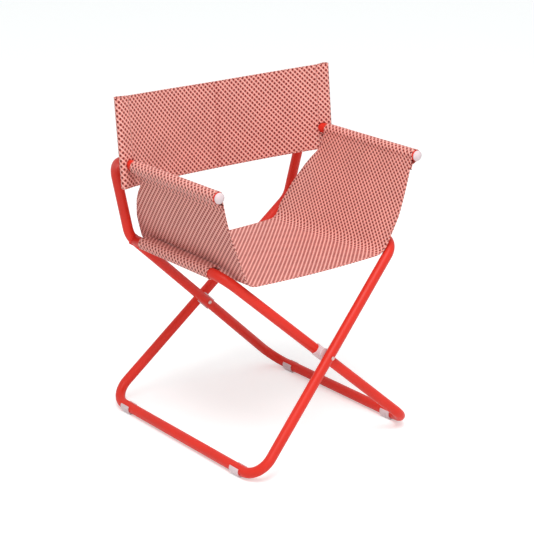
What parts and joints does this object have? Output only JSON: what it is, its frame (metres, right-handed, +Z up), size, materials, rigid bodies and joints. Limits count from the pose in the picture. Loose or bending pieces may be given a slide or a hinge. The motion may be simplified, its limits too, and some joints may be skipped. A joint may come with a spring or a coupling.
{
  "type": "folding director chair",
  "caption": "Folding director chair: two bent-tube side frames crossed on a fore-and-aft fold axis, with a sewn mesh-cloth sling for seat and arms and a bowed sling back.",
  "frame": {"origin": "on the floor, midway between the chair's sides and between its front and its back", "axes": "-Y is the chair's front, +X its left side as seen by someone sitting in it, +Z is up"},
  "size_m": [0.6334, 0.6187, 0.8299],
  "materials": {
    "frame_paint": "semi-gloss orange-red powder coat",
    "trim_plastic": "pale grey-pink moulded plastic",
    "rivet_steel": "dull plated steel",
    "sling_cloth": "open-weave coated mesh cloth, salmon yarn with dark red in the weave"
  },
  "bodies": {
    "outer_frame": {"outer_floor_runner": "frame_paint", "outer_front_leg": "frame_paint", "outer_seat_rail": "frame_paint", "outer_rear_leg": "frame_paint", "outer_arm_tube": "frame_paint", "outer_back_rod": "frame_paint", "outer_arm_cap": "trim_plastic", "outer_front_foot": "trim_plastic", "outer_rear_foot": "trim_plastic", "front_pivot_rivet": "rivet_steel", "rear_pivot_rivet": "rivet_steel", "left_arm_panel": "sling_cloth", "left_rail_sleeve": "sling_cloth", "left_seat_panel": "sling_cloth", "left_back_panel": "sling_cloth"},
    "inner_frame": {"inner_floor_runner": "frame_paint", "inner_front_leg": "frame_paint", "inner_seat_rail": "frame_paint", "inner_rear_leg": "frame_paint", "inner_arm_tube": "frame_paint", "inner_back_rod": "frame_paint", "inner_arm_cap": "trim_plastic", "inner_front_foot": "trim_plastic", "inner_rear_foot": "trim_plastic", "front_pivot_saddle": "trim_plastic", "rear_pivot_saddle": "trim_plastic", "right_arm_panel": "sling_cloth", "right_rail_sleeve": "sling_cloth", "right_seat_panel": "sling_cloth", "right_back_panel": "sling_cloth"}
  },
  "joints": [
    {"name": "frame_fold", "type": "hinge", "parent": "outer_frame", "child": "inner_frame", "pos_m": [0, 0, 0.241], "axis": [0, 1, 0], "range_deg": [0, 53], "deforming": ["left_seat_panel", "right_seat_panel", "left_back_panel", "right_back_panel"]}
  ]
}
